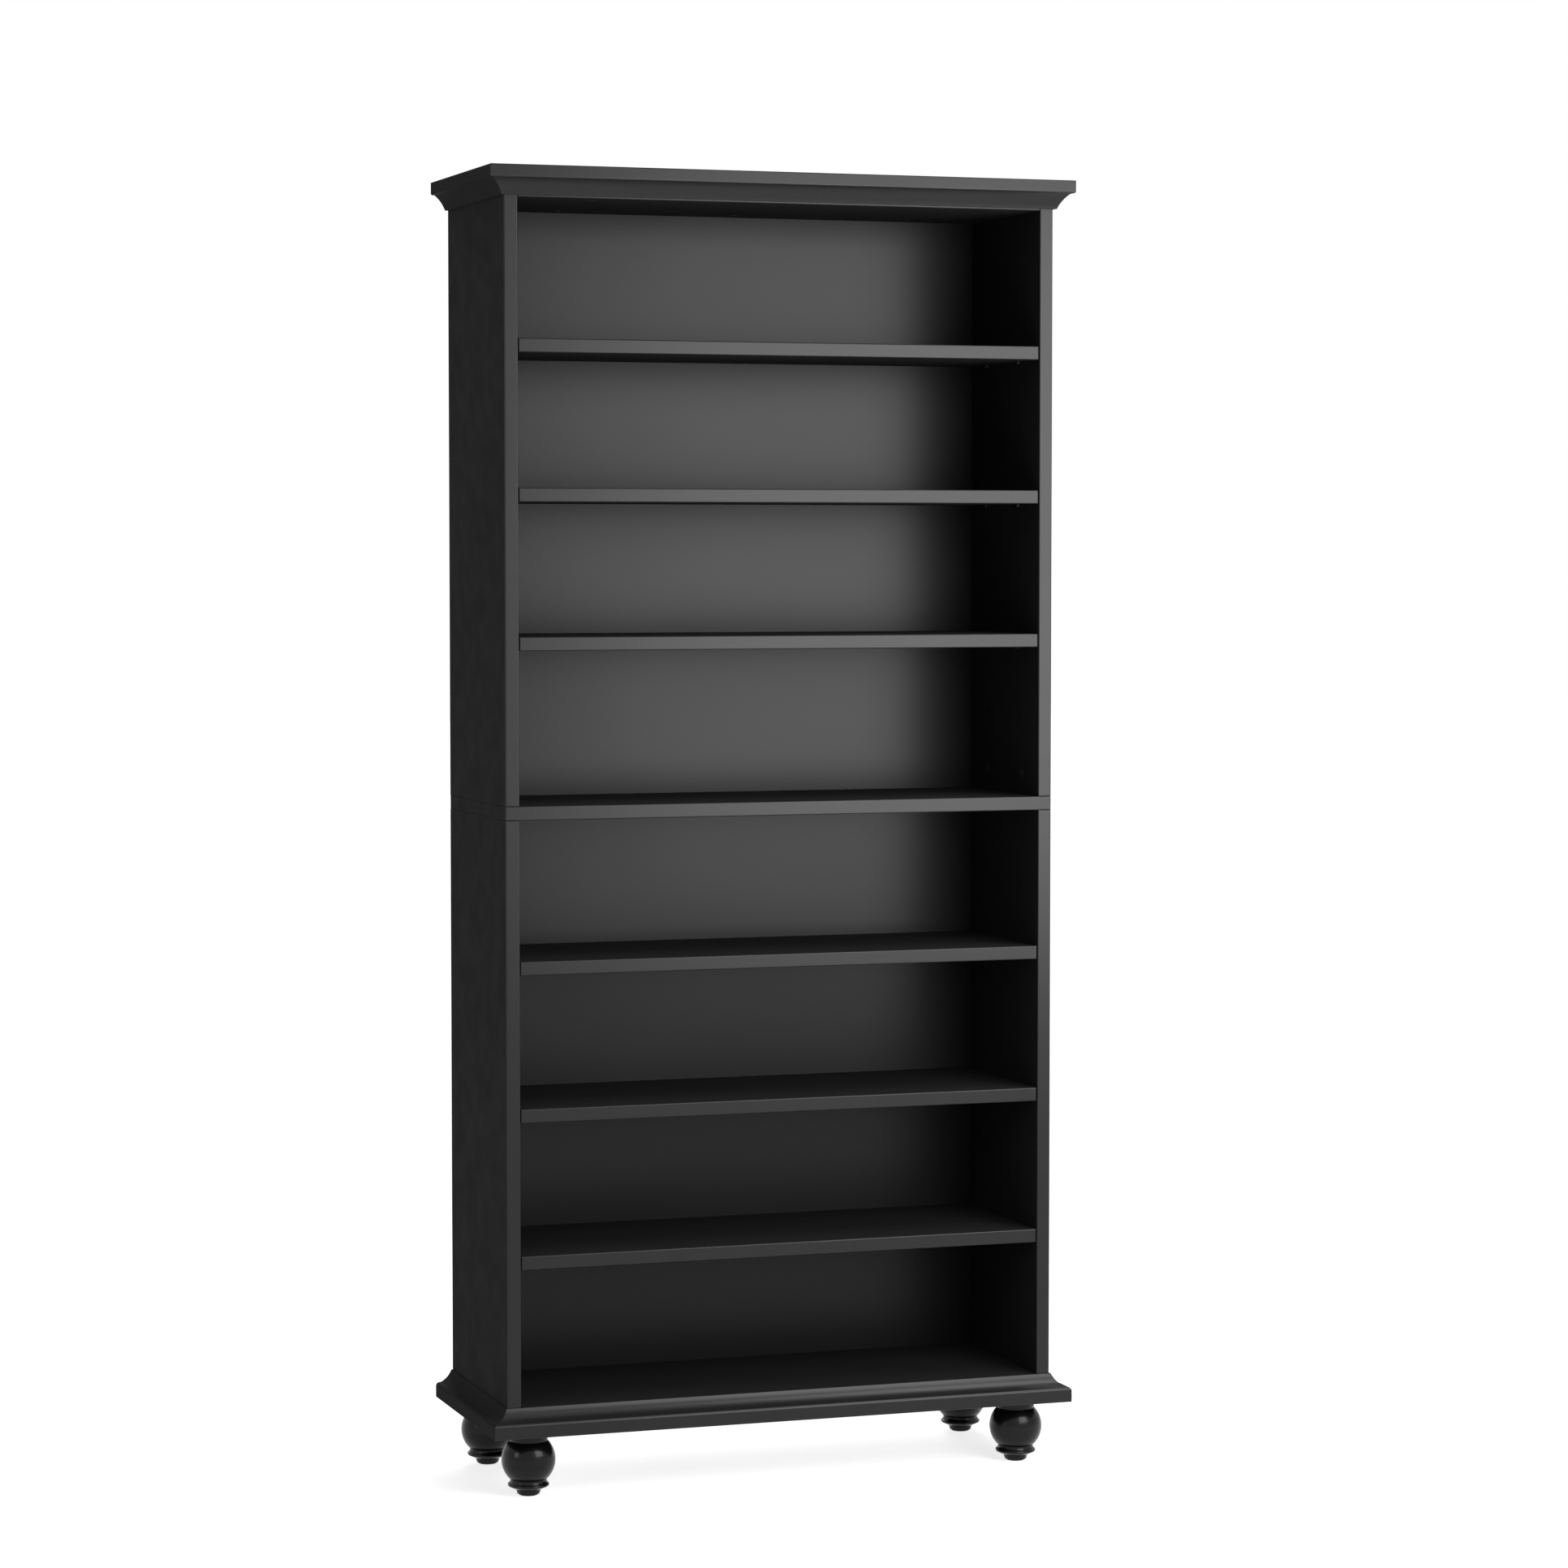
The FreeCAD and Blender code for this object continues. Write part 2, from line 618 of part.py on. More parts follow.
foot_bolts, foot_nuts, foot_nut_bores, foot_glides = [], [], [], []
for label, (x, y) in FOOT_PLACES.items():
    foot(label, x, y)
    foot_bolts.append(rod(f"{label}_bolt", "Z",
                          (x, y, "(Size.foot_height - Size.foot_bolt_bite)"),
                          "Size.foot_bolt_radius",
                          "(Size.foot_bolt_bite + Size.foot_bolt_reach)"))
    flange_low = f"({BASE_TOP} - Size.nut_flange)"
    barrel = rod(f"{label}_nut_barrel", "Z", (x, y, "Size.foot_height"), "Size.nut_radius",
                 "Size.base_board")
    flange = rod(f"{label}_nut_flange", "Z", (x, y, flange_low), "Size.nut_flange_radius",
                 "Size.nut_flange")
    thread = rod(f"{label}_nut_thread", "Z", (x, y, "(Size.foot_height - Size.overrun)"),
                 FOOT_BORE_RADIUS, "(Size.base_board + 2 * Size.overrun)")
    foot_nuts.append(cut(f"{label}_nut", fuse(f"{label}_nut_blank", [barrel, flange]), thread))
    hole = rod(f"{label}_nut_hole", "Z", (x, y, "(Size.foot_height - Size.overrun)"),
               "(Size.nut_radius + Size.fit_gap)", "(Size.base_board + 2 * Size.overrun)")
    seat = rod(f"{label}_nut_seat", "Z", (x, y, flange_low),
               "(Size.nut_flange_radius + Size.fit_gap)", "(Size.nut_flange + Size.overrun)")
    foot_nut_bores.append(fuse(f"{label}_nut_bore", [hole, seat]))
    foot_glides.append(rod(f"{label}_glide", "Z", (x, y, "0"), "Size.glide_radius",
                           "Size.glide_thickness"))
node(group("foot_bolts", foot_bolts), "foot_bolts")
node(group("foot_nuts", foot_nuts), "foot_nuts")
node(group("foot_glides", foot_glides), "foot_glides")

# Base board, the full footprint of the case, which the feet screw up into
drilled("base_board",
        board_blank("base_board_blank", (f"(-{HALF_WIDTH})", FRONT, "Size.foot_height"),
                    ("Size.cabinet_width", "Size.cabinet_depth", "Size.base_board"), ()),
        foot_nut_bores + base_screw_bores)


# Side panels, with a groove for the back panel down the inner face
def side_panel(label, hand, low, high, bores):
    x = f"(-{HALF_WIDTH})" if hand == "left" else HALF_CLEAR
    blank = board_blank(f"{label}_blank", (x, FRONT, low),
                        ("Size.panel", "Size.cabinet_depth", f"({high} - {low})"))
    groove_x = f"(-{HALF_CLEAR} - Size.groove_depth)"
    if hand == "right":
        groove_x = f"({HALF_CLEAR} - Size.overrun)"
    groove = block(f"{label}_groove",
                   (groove_x, f"({BACK_FACE} - Size.groove_gap)", f"({low} - Size.overrun)"),
                   ("(Size.groove_depth + Size.overrun)",
                    "(Size.back_sheet + 2 * Size.groove_gap)",
                    f"({high} - {low} + 2 * Size.overrun)"))
    drilled(label, blank, [groove] + bores)


for hand in HANDS:
    side_panel(f"lower_side_{hand}", hand, BASE_TOP, MID_UNDER,
               lower_dowel_bores + bottom_cam_bores + base_screw_bores + mid_screw_bores
               + lower_pin_bores)
    side_panel(f"upper_side_{hand}", hand, MID_TOP, TOP_TOP,
               upper_dowel_bores + top_cam_bores + stack_cam_bores + upper_pin_bores)

# Panels between the sides, and the mid board that parts the two cases
BETWEEN = (CLEAR_WIDTH, "Size.cabinet_depth", "Size.panel")
drilled("lower_bottom_panel",
        board_blank("lower_bottom_blank", (f"(-{HALF_CLEAR})", FRONT, BASE_TOP), BETWEEN),
        lower_dowel_bores + bottom_cam_bores + base_screw_bores)
drilled("mid_board",
        board_blank("mid_board_blank", (f"(-{HALF_WIDTH})", FRONT, MID_UNDER),
                    ("Size.cabinet_width", "Size.cabinet_depth", "Size.panel"),
                    ("front", "left", "right")),
        lower_dowel_bores + upper_dowel_bores + stack_cam_bores + mid_screw_bores)
drilled("upper_top_panel",
        board_blank("upper_top_blank", (f"(-{HALF_CLEAR})", FRONT, TOP_UNDER), BETWEEN),
        upper_dowel_bores + top_cam_bores + deck_screw_bores)
drilled("crown_deck",
        board_blank("crown_deck_blank", (f"(-{HALF_WIDTH})", FRONT, TOP_TOP),
                    ("Size.cabinet_width", "Size.cabinet_depth", "Size.crown_deck"), ()),
        deck_screw_bores)

# Back panels: thin sheets held in the side grooves, against the rails
SHEET_TUCK = "(Size.groove_depth - Size.groove_gap)"
for label, low, high in (("lower_back_panel", CASE_FLOOR, MID_UNDER),
                         ("upper_back_panel", MID_TOP, TOP_UNDER)):
    node(block(label, (f"(-{HALF_CLEAR} - {SHEET_TUCK})", BACK_FACE, low),
               (f"({CLEAR_WIDTH} + 2 * {SHEET_TUCK})", "Size.back_sheet",
                f"({high} - {low})")), label)

# Rails behind the back panels. The top one has pilot holes for a wall strap.
RAIL_SIZE = (CLEAR_WIDTH, "Size.rail_depth", "Size.rail_height")
strap_holes = [
    rod(f"strap_hole_{hand}", "Y",
        (f"({sign} * Size.strap_spacing / 2)", f"({REAR} - Size.strap_hole_depth)",
         f"({TOP_UNDER} - Size.rail_height / 2)"),
        "Size.strap_hole_radius", "(Size.strap_hole_depth + Size.overrun)")
    for hand, sign in HANDS.items()]
for rails, bores in ((LOWER_RAILS, lower_dowel_bores), (UPPER_RAILS, upper_dowel_bores)):
    for label, low in rails.items():
        extra = strap_holes if label == "upper_top_rail" else []
        drilled(label, block(f"{label}_blank", (f"(-{HALF_CLEAR})", RAIL_FACE, low), RAIL_SIZE),
                bores + extra)

# Shelves: loose boards that lie on four pins each
SHELF_SIZE = ("(Size.cabinet_width - 2 * Size.panel - 2 * Size.shelf_side_gap)",
              f"({INNER_DEPTH} - Size.shelf_setback - Size.shelf_back_gap)",
              "Size.shelf_thickness")
for case, first in (("lower", LOWER_FIRST), ("upper", UPPER_FIRST)):
    for step in SHELF_STEPS:
        label = f"{case}_shelf_{step + 1}"
        corner = (f"(-{HALF_CLEAR} + Size.shelf_side_gap)", f"({FRONT} + Size.shelf_setback)",
                  shelf_under(first, step))
        node(board_blank(label, corner, SHELF_SIZE), label)


# Mouldings: one run of section on the front and one on each side, mitred at the corners.
# The section is a flat fascia with a rounded edge, a narrow ledge and a hollow cove that
# dies into a thin lip against the case.
def cove_radius(run, rise, sag):
    """The radius of a hollow that sags by so much off the straight line of its ends."""
    square = f"({run} * {run} + {rise} * {rise})"
    return f"({square} / (8 * {sag}) + {sag} / 2)"


def moulding_section(sketch, fascia, rounding, ledge, lip, sag, height, upright, outer_first):
    """Draws the section from the case's face outwards, fascia down for a base."""
    def up(rise):
        return rise if upright else f"({height} - {rise})"

    def out(reach):
        return f"(Size.overhang - {reach})" if outer_first else reach

    cove_start = f"(Size.overhang - {rounding} - {ledge})"
    radius = cove_radius(f"({cove_start} - {lip})", f"({height} - {fascia})", sag)
    free_edge = "0" if upright else height
    lip_edge = height if upright else "0"
    wall = "Size.overhang" if outer_first else "0"
    face = "0" if outer_first else "Size.overhang"
    corners = [
        (wall, free_edge),
        (out("(Size.overhang - Size.moulding_arris)"), free_edge),
        (face, up("Size.moulding_arris")),
        (face, up(f"({fascia} - {rounding})")),
        (out(f"(Size.overhang - {rounding})"), up(fascia)),
        (out(cove_start), up(fascia)),
        (out(lip), lip_edge),
        (wall, lip_edge),
    ]
    turn = 1 if upright != outer_first else -1
    outline(sketch, corners, {
        1: ("Size.moulding_arris", turn),
        3: (rounding, turn),
        5: (radius, -turn),
    })


def mitre(body, corners, name):
    """Saws an end of a moulding off through its whole height."""
    sketch = plane_sketch(body, "Z", f"{name}_line")
    outline(sketch, corners)
    saw = body.newObject("PartDesign::Pocket", name)
    saw.Profile = sketch
    saw.Type = "ThroughAll"
    saw.Reversed = True
    body.Tip = saw


def moulding_run(label, side, low, section):
    """One length of moulding, standing on a level, on the front or a side of the case."""
    body = doc.addObject("PartDesign::Body", label)
    deep = "(Size.cabinet_depth + Size.overhang)"
    long = "(Size.cabinet_width + 2 * Size.overhang)"
    left_out = f"(-{HALF_WIDTH} - Size.overhang)"
    front_out = f"({FRONT} - Size.overhang)"
    place(body, (HALF_WIDTH if side == "right" else left_out, front_out, low))
    sketch = plane_sketch(body, "X" if side == "front" else "Y", f"{label}_section")
    moulding_section(sketch, *section, side != "right")
    pad(body, sketch, long if side == "front" else deep, f"{label}_run", side != "front")
    over = "Size.overhang"
    if side == "front":
        mitre(body, [("0", "0"), (over, over), ("0", over)], f"{label}_left_mitre")
        mitre(body, [(long, "0"), (long, over), (f"({long} - {over})", over)],
              f"{label}_right_mitre")
    elif side == "left":
        mitre(body, [("0", "0"), (over, "0"), (over, over)], f"{label}_mitre")
    else:
        mitre(body, [("0", "0"), (over, "0"), ("0", over)], f"{label}_mitre")
    node(body, label)


BASE_SECTION = ("Size.base_fascia", "Size.base_round", "Size.base_ledge", "Size.base_lip",
                "Size.base_cove_sag", "(Size.base_board + Size.panel)", True)
CROWN_SECTION = ("Size.crown_fascia", "Size.crown_round", "Size.crown_ledge", "Size.crown_lip",
                 "Size.crown_cove_sag", "Size.crown_height", False)
for side in ("front", "left", "right"):
    moulding_run(f"base_moulding_{side}", side, "Size.foot_height", BASE_SECTION)
    moulding_run(f"crown_moulding_{side}", side, f"({CROWN_TOP} - Size.crown_height)",
                 CROWN_SECTION)

doc.recompute()

# Every object is sound before a piece is written
failed = [thing.Name for thing in doc.Objects if {"Invalid", "Error"} & set(thing.State)]
failed += [piece.Label for piece in nodes if piece.Shape.isNull() or not piece.Shape.isValid()]
if failed:
    raise RuntimeError(f"failed: {failed}")

os.makedirs("parts", exist_ok=True)
for piece in nodes:
    piece.Shape.exportStep(f"parts/{piece.Label}.step")
print(f"{len(nodes)} pieces, {number(CROWN_TOP)} mm tall")
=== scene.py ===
import math

import bmesh
import bpy
from mathutils import Matrix, Vector


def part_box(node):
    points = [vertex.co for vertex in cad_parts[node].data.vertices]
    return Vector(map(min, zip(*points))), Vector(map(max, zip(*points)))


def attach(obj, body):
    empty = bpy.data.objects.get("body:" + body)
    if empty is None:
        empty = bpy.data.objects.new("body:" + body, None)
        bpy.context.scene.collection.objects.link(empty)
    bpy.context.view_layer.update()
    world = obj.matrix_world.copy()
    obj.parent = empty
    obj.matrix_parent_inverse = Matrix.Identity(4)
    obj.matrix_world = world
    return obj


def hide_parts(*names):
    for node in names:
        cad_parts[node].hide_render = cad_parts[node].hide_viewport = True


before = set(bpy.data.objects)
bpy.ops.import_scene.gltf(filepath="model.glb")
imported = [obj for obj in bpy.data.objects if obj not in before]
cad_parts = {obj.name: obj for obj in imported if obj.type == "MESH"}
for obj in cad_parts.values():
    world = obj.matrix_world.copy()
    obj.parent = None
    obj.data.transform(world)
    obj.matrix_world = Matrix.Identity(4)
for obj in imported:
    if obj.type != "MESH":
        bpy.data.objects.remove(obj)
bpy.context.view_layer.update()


# Boards of both cases, the mid board, the deck, the base board and the shelves. Medium
# density fibreboard, sprayed with a dull black base coat. A satin clear coat lies over it on
# all that faces the front or the rear, and the other faces are left dull.
mm_per_m = 1000.0
# A noise seldom leaves this middle range, so a finish runs from one value to the other in it
noise_range = {"From Min": 0.3, "From Max": 0.7}


def linear(colour):
    """A colour written as sRGB hex, as the shader wants it."""
    parts = [int(colour[i:i + 2], 16) / 255 for i in (1, 3, 5)]
    return [c / 12.92 if c <= 0.04045 else ((c + 0.055) / 1.055) ** 2.4 for c in parts] + [1.0]


def every(mm):
    """The scale of a pattern on Object coordinates that repeats about once in so many mm."""
    return mm_per_m / mm


def add(tree, kind, sockets, **settings):
    """Adds one node with its settings. A socket takes a value or another node's output."""
    made = tree.nodes.new(kind)
    for name, value in settings.items():
        setattr(made, name, value)
    for name, value in sockets.items():
        if isinstance(value, bpy.types.NodeSocket):
            tree.links.new(value, made.inputs[name])
        else:
            made.inputs[name].default_value = value
    return made


def new_finish(name, colour, roughness, **constants):
    """A material with its plain values, its node tree, its shader and Object coordinates."""
    finish = bpy.data.materials.new(name)
    finish.use_nodes = True
    tree = finish.node_tree
    shader = tree.nodes["Principled BSDF"]
    shader.inputs["Base Color"].default_value = linear(colour)
    shader.inputs["Roughness"].default_value = roughness
    for socket, value in constants.items():
        shader.inputs[socket.replace("_", " ")].default_value = value
    place = add(tree, "ShaderNodeTexCoord", {})
    return finish, tree, shader, place


def dress(finish, *pieces):
    """Gives CAD nodes, by name, or new pieces their finish, in every slot they have."""
    for piece in pieces:
        mesh = (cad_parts[piece] if isinstance(piece, str) else piece).data
        if not mesh.materials:
            mesh.materials.append(finish)
        for index in range(len(mesh.materials)):
            mesh.materials[index] = finish


def clear_coat(tree, shader, place):
    """Lays the clear coat on what turns to the front or the rear, fading out on its way round."""
    facing = add(tree, "ShaderNodeSeparateXYZ", {"Vector": place.outputs["Normal"]})
    to_front = add(tree, "ShaderNodeMath", {0: facing.outputs["Y"]}, operation="ABSOLUTE")
    clear = add(tree, "ShaderNodeMapRange", {
        "Value": to_front.outputs[0], "From Min": 0.05, "From Max": 0.35})
    tree.links.new(clear.outputs["Result"], shader.inputs["Coat Weight"])


board_lacquer, tree, shader, place = new_finish(
    "satin_black_lacquer_on_board", "#171718", 0.95, IOR=1.2, Coat_Roughness=0.3, Coat_IOR=1.32)
# The colour drifts a little over a hand's width, as a sprayed coat's does
drift = add(tree, "ShaderNodeTexNoise", {
    "Vector": place.outputs["Object"], "Scale": every(180), "Detail": 3.0})
tint = add(tree, "ShaderNodeMix", {
    "Factor": drift.outputs["Fac"], "A": linear("#151516"), "B": linear("#1a1a1b")},
    data_type="RGBA")
# The base coat is rubbed down by hand, smoother in some places than in others
rubbing = add(tree, "ShaderNodeTexNoise", {
    "Vector": place.outputs["Object"], "Scale": every(40), "Detail": 4.0})
dull = add(tree, "ShaderNodeMapRange", {
    "Value": rubbing.outputs["Fac"], **noise_range, "To Min": 0.90, "To Max": 1.0})
# Orange peel in the base coat, a few hundredths of a millimetre high
peel = add(tree, "ShaderNodeTexNoise", {
    "Vector": place.outputs["Object"], "Scale": every(3.5), "Detail": 1.5})
relief = add(tree, "ShaderNodeBump", {
    "Height": peel.outputs["Fac"], "Strength": 1.0, "Distance": 0.00003})
tree.links.new(tint.outputs["Result"], shader.inputs["Base Color"])
tree.links.new(dull.outputs["Result"], shader.inputs["Roughness"])
tree.links.new(relief.outputs["Normal"], shader.inputs["Normal"])
clear_coat(tree, shader, place)
dress(board_lacquer, "base_board", "lower_bottom_panel", "lower_side_left", "lower_side_right",
      "mid_board", "upper_side_left", "upper_side_right", "upper_top_panel", "crown_deck")
dress(board_lacquer, *(f"{case}_shelf_{step}" for case in ("lower", "upper") for step in (1, 2, 3)))


# Crown and base mouldings. Profiles milled from board, sawn to length and mitred, under the
# same two coats as the boards. The base coat shows faint marks of the cutter along their run.
moulding_lacquer, tree, shader, place = new_finish(
    "satin_black_lacquer_on_moulding", "#171718", 0.95, IOR=1.2, Coat_Roughness=0.29,
    Coat_IOR=1.3)
drift = add(tree, "ShaderNodeTexNoise", {
    "Vector": place.outputs["Object"], "Scale": every(150), "Detail": 2.0})
tint = add(tree, "ShaderNodeMix", {
    "Factor": drift.outputs["Fac"], "A": linear("#151516"), "B": linear("#1b1b1c")},
    data_type="RGBA")
# The marks run along every piece, so they change with its height alone. They are half as
# high as the orange peel that is added to them.
level = add(tree, "ShaderNodeSeparateXYZ", {"Vector": place.outputs["Object"]})
cutter = add(tree, "ShaderNodeTexNoise", {
    "W": level.outputs["Z"], "Scale": every(1.2), "Detail": 1.0}, noise_dimensions="1D")
peel = add(tree, "ShaderNodeTexNoise", {
    "Vector": place.outputs["Object"], "Scale": every(3.5), "Detail": 1.5})
cutter_height = 0.5
marks = add(tree, "ShaderNodeMath", {
    0: cutter.outputs["Fac"], 1: cutter_height, 2: peel.outputs["Fac"]},
    operation="MULTIPLY_ADD")
relief = add(tree, "ShaderNodeBump", {
    "Height": marks.outputs[0], "Strength": 1.0, "Distance": 0.00002})
tree.links.new(tint.outputs["Result"], shader.inputs["Base Color"])
tree.links.new(relief.outputs["Normal"], shader.inputs["Normal"])
# The side runs, flat tops and ledges are left as dull as the boards beside them
clear_coat(tree, shader, place)
dress(moulding_lacquer, *(f"{run}_moulding_{side}" for run in ("base", "crown")
                          for side in ("front", "left", "right")))


# Ball feet. Hardwood turned on a lathe and sprayed satin black: fine rings of the chisel
# under the coat, and a slightly glossier coat than the boards' fronts have.
foot_lacquer, tree, shader, place = new_finish(
    "satin_black_lacquer_on_turned_wood", "#101011", 0.24, IOR=1.28)
level = add(tree, "ShaderNodeSeparateXYZ", {"Vector": place.outputs["Object"]})
rings = add(tree, "ShaderNodeTexNoise", {
    "W": level.outputs["Z"], "Scale": every(1.6), "Detail": 2.0}, noise_dimensions="1D")
peel = add(tree, "ShaderNodeTexNoise", {
    "Vector": place.outputs["Object"], "Scale": every(3.0), "Detail": 1.0})
# The rings are a little higher than the orange peel that is added to them
ring_height = 1.2
marks = add(tree, "ShaderNodeMath", {
    0: rings.outputs["Fac"], 1: ring_height, 2: peel.outputs["Fac"]}, operation="MULTIPLY_ADD")
relief = add(tree, "ShaderNodeBump", {
    "Height": marks.outputs[0], "Strength": 1.0, "Distance": 0.00003})
sheen = add(tree, "ShaderNodeMapRange", {
    "Value": peel.outputs["Fac"], **noise_range, "To Min": 0.20, "To Max": 0.26})
tree.links.new(sheen.outputs["Result"], shader.inputs["Roughness"])
tree.links.new(relief.outputs["Normal"], shader.inputs["Normal"])
dress(foot_lacquer, "foot_front_left", "foot_front_right", "foot_rear_left", "foot_rear_right")


# Glides under the feet. Black nylon discs with a rounded rim and a small well in the middle,
# through which a nail would hold each to its toe.
merge_distance = 0.000001


def solids(node):
    """The lowest and highest corner of each separate solid in a CAD node."""
    shape = bmesh.new()
    shape.from_mesh(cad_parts[node].data)
    bmesh.ops.remove_doubles(shape, verts=shape.verts, dist=merge_distance)
    shape.verts.ensure_lookup_table()
    unseen, found = set(shape.verts), []
    while unseen:
        island, edge = set(), [unseen.pop()]
        while edge:
            vert = edge.pop()
            island.add(vert)
            for link in vert.link_edges:
                other = link.other_vert(vert)
                if other in unseen:
                    unseen.discard(other)
                    edge.append(other)
        spots = [v.co for v in island]
        found.append((Vector([min(s[i] for s in spots) for i in range(3)]),
                      Vector([max(s[i] for s in spots) for i in range(3)])))
    shape.free()
    return sorted(found, key=lambda box: tuple(box[0]))


def turned(profile, steps=32):
    """A piece turned about Z from its half section, given as radius and height in mm."""
    shape = bmesh.new()
    points = [shape.verts.new((radius / mm_per_m, 0.0, height / mm_per_m))
              for radius, height in profile]
    lines = [shape.edges.new(pair) for pair in zip(points, points[1:])]
    bmesh.ops.spin(shape, geom=points + lines, cent=(0, 0, 0), axis=(0, 0, 1), dvec=(0, 0, 0),
                   angle=math.tau, steps=steps, use_merge=True, use_duplicate=False)
    # A spin makes its faces in another order at each run, so they are sorted by their corners
    shape.verts.index_update()
    count = len(shape.verts)
    shape.faces.sort(key=lambda face: min(vert.index for vert in face.verts) * count
                     + max(vert.index for vert in face.verts))
    bmesh.ops.remove_doubles(shape, verts=shape.verts, dist=merge_distance)
    bmesh.ops.recalc_face_normals(shape, faces=shape.faces)
    return shape


def upright(low, high):
    """Stands a fitting made upwards from the origin on the foot of a solid's box."""
    return Matrix.Translation(((low.x + high.x) / 2, (low.y + high.y) / 2, low.z))


def set_out(one, places):
    """A copy of one fitting at every place."""
    pattern = bpy.data.meshes.new("pattern")
    one.to_mesh(pattern)
    one.free()
    every_one = bmesh.new()
    for matrix in places:
        copy = pattern.copy()
        copy.transform(matrix)
        every_one.from_mesh(copy)
        bpy.data.meshes.remove(copy)
    bpy.data.meshes.remove(pattern)
    return every_one


def fit(name, shape, finish, slot, *stands_for, sharp=35):
    """Makes an object of the shape, which rides on the case."""
    mesh = bpy.data.meshes.new(name)
    shape.to_mesh(mesh)
    shape.free()
    mesh.shade_smooth()
    mesh.set_sharp_from_angle(angle=math.radians(sharp))
    piece = bpy.data.objects.new(name, mesh)
    bpy.context.scene.collection.objects.link(piece)
    dress(finish, piece)
    if stands_for:
        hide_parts(*stands_for)
    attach(piece, "case")


nylon, tree, shader, place = new_finish("black_moulded_nylon", "#303030", 0.55, IOR=1.53)
flow = add(tree, "ShaderNodeTexNoise", {
    "Vector": place.outputs["Object"], "Scale": every(6), "Detail": 3.0})
tint = add(tree, "ShaderNodeMix", {
    "Factor": flow.outputs["Fac"], "A": linear("#2b2b2b"), "B": linear("#353535")},
    data_type="RGBA")
grain = add(tree, "ShaderNodeTexNoise", {
    "Vector": place.outputs["Object"], "Scale": every(0.4), "Detail": 2.0})
relief = add(tree, "ShaderNodeBump", {
    "Height": grain.outputs["Fac"], "Strength": 1.0, "Distance": 0.00001})
tree.links.new(tint.outputs["Result"], shader.inputs["Base Color"])
tree.links.new(relief.outputs["Normal"], shader.inputs["Normal"])
glide_radius, glide_height = 15.0, 2.5
well_radius, well_depth = 2.2, 1.2
glide = turned([(0, well_depth), (well_radius, well_depth), (well_radius + 0.4, 0.3),
                (well_radius + 0.8, 0.0), (glide_radius - 1.3, 0.0), (glide_radius - 0.4, 0.4),
                (glide_radius, 1.3), (glide_radius, glide_height), (0, glide_height)])
fit("foot_glide_discs", set_out(glide, [upright(*box) for box in solids("foot_glides")]), nylon,
    "nylon", "foot_glides")


# Hanger bolts of the feet, wood screws, thick-shanked screws and nuts. Mild steel, rolled
# or pressed, and plated with clear zinc: a pale metal with a faint blue and a fine grain.
zinc, tree, shader, place = new_finish("clear_zinc_plated_steel", "#b4b7ba", 0.36, Metallic=1.0)
spangle = add(tree, "ShaderNodeTexNoise", {
    "Vector": place.outputs["Object"], "Scale": every(2.5), "Detail": 4.0})
tint = add(tree, "ShaderNodeMix", {
    "Factor": spangle.outputs["Fac"], "A": linear("#a9adb1"), "B": linear("#bfc1c2")},
    data_type="RGBA")
sheen = add(tree, "ShaderNodeMapRange", {
    "Value": spangle.outputs["Fac"], **noise_range, "To Min": 0.30, "To Max": 0.42})
tree.links.new(tint.outputs["Result"], shader.inputs["Base Color"])
tree.links.new(sheen.outputs["Result"], shader.inputs["Roughness"])


def threaded(low, high, crest, root, pitch):
    """The half section of a thread: a ridge at every pitch, in mm."""
    section, level = [], low
    while level + pitch <= high:
        section += [(root, level), (crest, level + pitch * 0.35), (crest, level + pitch * 0.5),
                    (root, level + pitch * 0.85)]
        level += pitch
    return section


def cross_recess(shape, width, depth, reach, taper=0.55):
    """Sinks a cross for the driver into the flat head at the foot of a screw, sizes in mm."""
    cutter = bmesh.new()
    for turn in (0, 90):
        bmesh.ops.create_cube(cutter, size=1.0, matrix=(
            Matrix.Rotation(math.radians(turn), 4, "Z") @ Matrix.Diagonal(
                (reach * 2 / mm_per_m, width / mm_per_m, depth * 2 / mm_per_m, 1))))
    # The arms taper towards the middle of the recess
    for vert in cutter.verts:
        if vert.co.z > 0:
            vert.co.x *= taper
            vert.co.y *= taper
    pair = []
    for name, made in (("head", shape), ("cross", cutter)):
        mesh = bpy.data.meshes.new(name)
        made.to_mesh(mesh)
        made.free()
        body = bpy.data.objects.new(name, mesh)
        bpy.context.scene.collection.objects.link(body)
        pair.append(body)
    sink = pair[0].modifiers.new("sink", "BOOLEAN")
    sink.operation = "DIFFERENCE"
    sink.solver = "EXACT"
    sink.use_self = True
    sink.object = pair[1]
    bpy.context.view_layer.update()
    done = bmesh.new()
    done.from_object(pair[0], bpy.context.evaluated_depsgraph_get())
    for body in pair:
        mesh = body.data
        bpy.data.objects.remove(body)
        bpy.data.meshes.remove(mesh)
    return done


bolt_length, bolt_crest, bolt_root, bolt_pitch = 49.0, 3.9, 3.2, 1.6
bolt = turned([(0, 0)] + threaded(0.4, bolt_length - 2.5, bolt_crest, bolt_root, bolt_pitch)
              + [(bolt_root, bolt_length - 0.6), (bolt_root - 0.6, bolt_length),
                 (0, bolt_length)], steps=20)
fit("foot_hanger_bolts", set_out(bolt, [upright(*box) for box in solids("foot_bolts")]), zinc,
    "zinc_steel", "foot_bolts")

